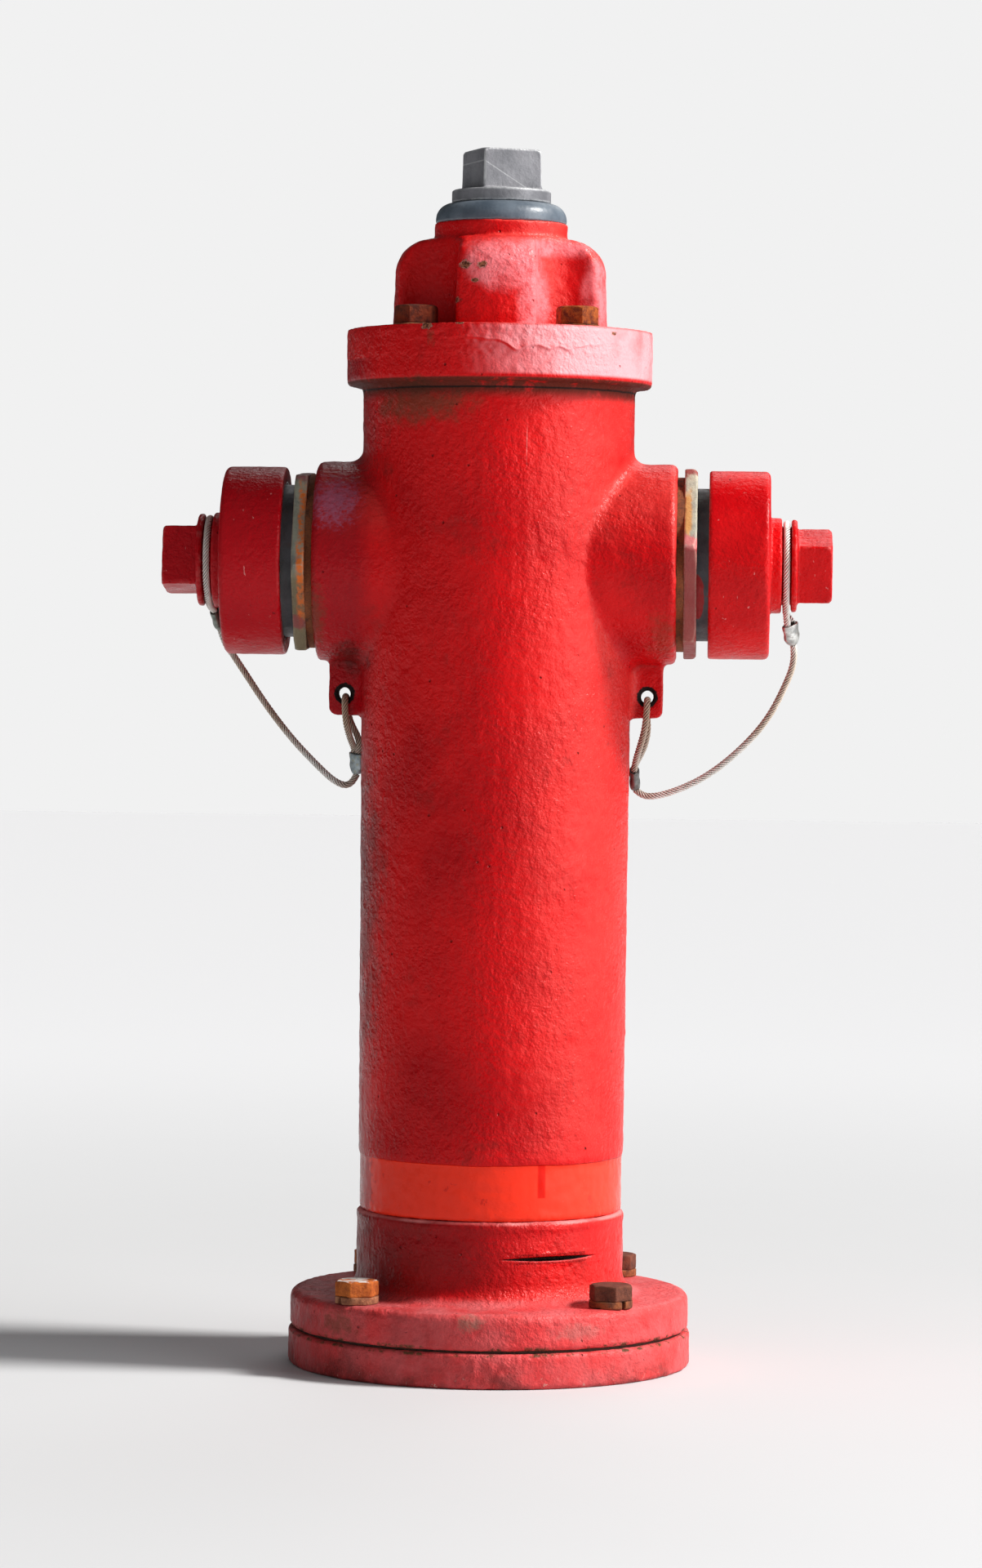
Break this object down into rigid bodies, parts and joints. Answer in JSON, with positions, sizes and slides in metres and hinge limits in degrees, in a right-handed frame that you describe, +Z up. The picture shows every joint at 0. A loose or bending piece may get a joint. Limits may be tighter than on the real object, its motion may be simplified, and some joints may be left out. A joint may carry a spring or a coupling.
{
  "type": "fire hydrant",
  "caption": "Red post fire hydrant with screw caps on two side outlets, wire tethers, a bolted bonnet with a square operating nut, and a bolted round foot.",
  "frame": {"origin": "centre of the foot's underside, on the ground", "axes": "+Z up along the barrel, +X out of the right-hand outlet, -Y towards the viewer in front"},
  "size_m": [0.3684, 0.222, 0.668],
  "materials": {
    "red_enamel": "glossy red enamel over sand-cast iron, worn at the edges",
    "blue_grey_enamel": "satin blue-grey paint",
    "dark_iron": "dark grey cast iron with bright worn edges",
    "rusty_steel": "weathered steel with orange rust",
    "zinc_ring": "yellowish zinc plate with rust and overspray",
    "charcoal_iron": "dark grey machined iron",
    "machined_steel": "turned steel",
    "seat_brass": "turned brass",
    "black_rubber": "black rubber",
    "joint_sheet": "brown fibre and rubber joint sheet",
    "wire_rope": "galvanised six-strand wire rope with tan dirt",
    "ferrule_metal": "dull pressed aluminium"
  },
  "bodies": {
    "root": {"base_flange": "red_enamel", "foot_flange": "red_enamel", "barrel": "red_enamel", "bonnet": "red_enamel", "flange_gasket": "black_rubber", "bonnet_gasket": "joint_sheet", "hold_down_nut": "blue_grey_enamel", "thrust_washers": "seat_brass", "seal_plate": "seat_brass", "stem_o_rings": "black_rubber", "plate_o_ring": "black_rubber", "seat_ring": "seat_brass", "base_bolts": "rusty_steel", "base_spring_washers": "rusty_steel", "bonnet_bolts": "rusty_steel", "bonnet_washers": "rusty_steel", "right_nozzle_gasket": "joint_sheet", "right_lock_ring": "zinc_ring", "right_nozzle": "charcoal_iron", "right_tether": "wire_rope", "right_lug_ferrule": "ferrule_metal", "right_lug_loop": "wire_rope", "left_nozzle_gasket": "joint_sheet", "left_lock_ring": "zinc_ring", "left_nozzle": "charcoal_iron", "left_tether": "wire_rope", "left_lug_ferrule": "ferrule_metal", "left_lug_loop": "wire_rope"},
    "operating_nut": {"operating_nut": "dark_iron"},
    "valve_stem": {"upper_stem": "machined_steel", "stem_coupling": "machined_steel", "coupling_pins": "machined_steel", "lower_stem": "machined_steel", "valve_lock_nut": "machined_steel", "lower_valve_plate": "dark_iron", "valve_rubber": "black_rubber", "upper_valve_plate": "dark_iron"},
    "right_cap_tie": {"right_cap_loop": "wire_rope", "right_cap_ferrule": "ferrule_metal"},
    "right_cap": {"right_cap": "red_enamel", "right_cap_gasket": "black_rubber"},
    "left_cap_tie": {"left_cap_loop": "wire_rope", "left_cap_ferrule": "ferrule_metal"},
    "left_cap": {"left_cap": "red_enamel", "left_cap_gasket": "black_rubber"}
  },
  "joints": [
    {"name": "operating_nut_turn", "type": "hinge", "parent": "root", "child": "operating_nut", "pos_m": [0, 0, 0.62], "axis": [0, 0, 1], "range_deg": [0, 1440]},
    {"name": "valve_stem_lift", "type": "slide", "parent": "root", "child": "valve_stem", "axis": [0, 0, 1], "range_m": [0, 0.024]},
    {"name": "right_cap_travel", "type": "slide", "parent": "root", "child": "right_cap_tie", "axis": [1, 0, 0], "range_m": [0, 0.0254], "deforming": ["right_tether"]},
    {"name": "right_cap_turn", "type": "hinge", "parent": "right_cap_tie", "child": "right_cap", "pos_m": [0.13, 0, 0.4415], "axis": [1, 0, 0], "range_deg": [0, 2700]},
    {"name": "left_cap_travel", "type": "slide", "parent": "root", "child": "left_cap_tie", "axis": [-1, 0, 0], "range_m": [0, 0.0254], "deforming": ["left_tether"]},
    {"name": "left_cap_turn", "type": "hinge", "parent": "left_cap_tie", "child": "left_cap", "pos_m": [-0.13, 0, 0.4415], "axis": [-1, 0, 0], "range_deg": [0, 2700]}
  ],
  "couplings": [
    {"joint": "operating_nut_turn", "follows": "valve_stem_lift", "rad_per_m": 1047.2},
    {"joint": "right_cap_travel", "follows": "right_cap_turn", "m_per_rad": 0.000539},
    {"joint": "left_cap_travel", "follows": "left_cap_turn", "m_per_rad": 0.000539}
  ]
}
